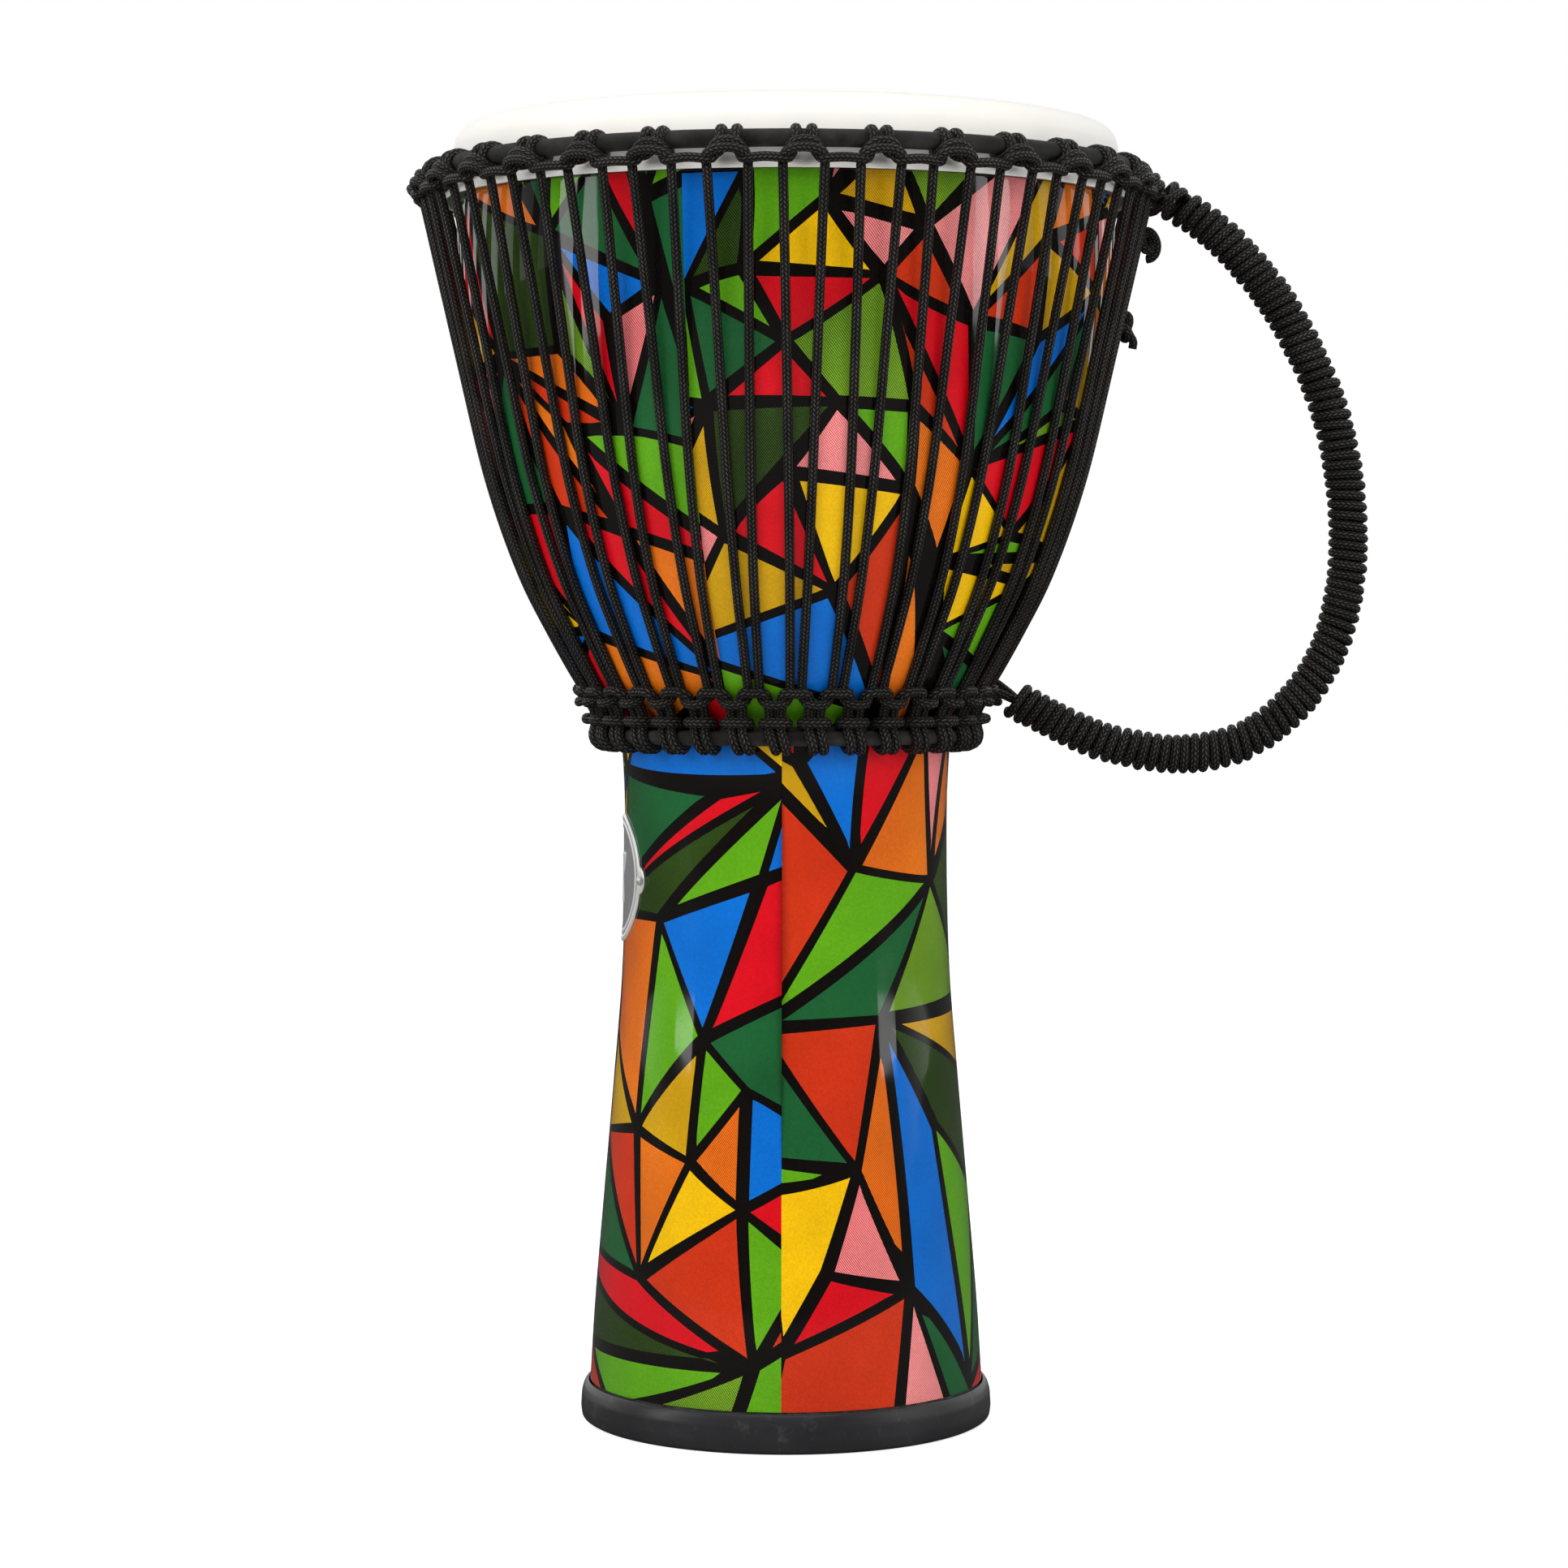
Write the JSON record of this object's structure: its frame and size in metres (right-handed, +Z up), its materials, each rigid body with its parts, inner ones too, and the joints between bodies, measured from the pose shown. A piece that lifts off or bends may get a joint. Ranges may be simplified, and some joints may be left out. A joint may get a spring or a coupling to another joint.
{
  "type": "djembe",
  "caption": "Goblet-shaped hand drum with a synthetic head, rope lacing between two rings, a printed cloth covering, a rubber foot and a rope-wound carrying handle.",
  "frame": {"origin": "centre of the whole object's footprint box, on the floor; the drum's own axis stands at X = -0.04965", "axes": "+Z up through the head; the handle hangs at +X, in the XZ plane; the badge faces about -X"},
  "size_m": [0.4583, 0.362, 0.615],
  "materials": {
    "fibreglass": "matt black resin",
    "printed_cloth": "bright shard print under clear gloss lacquer",
    "black_rubber": "satin black",
    "white_film": "satin coated white film",
    "steel": "plain steel rod",
    "black_cloth": "black cloth sleeve",
    "black_rope": "black braided low-stretch rope",
    "nickel": "polished nickel plate"
  },
  "bodies": {
    "drum": {"shell": "fibreglass", "stem_fabric": "printed_cloth", "bowl_fabric": "printed_cloth", "foot_ring": "black_rubber", "drum_head": "white_film", "flesh_hoop": "steel", "crown_ring": "steel", "crown_ring_sleeve": "black_cloth", "base_ring": "steel", "base_ring_sleeve": "black_cloth", "crown_loop_rope": "black_rope", "base_loop_rope": "black_rope", "tension_rope": "black_rope", "upper_rope_end_knot": "black_rope", "lower_rope_end_knot": "black_rope", "handle_upper_tie": "black_rope", "handle_lower_tie": "black_rope", "badge": "nickel", "left_badge_nail": "nickel", "right_badge_nail": "nickel"},
    "handle": {"handle_core": "black_rope", "handle_winding": "black_rope"}
  },
  "joints": [
    {"name": "handle_swing", "type": "hinge", "parent": "drum", "child": "handle", "pos_m": [0.13005, 0, 0.5806], "axis": [0.2856, 0, 0.9584], "range_deg": [-45, 45]}
  ]
}
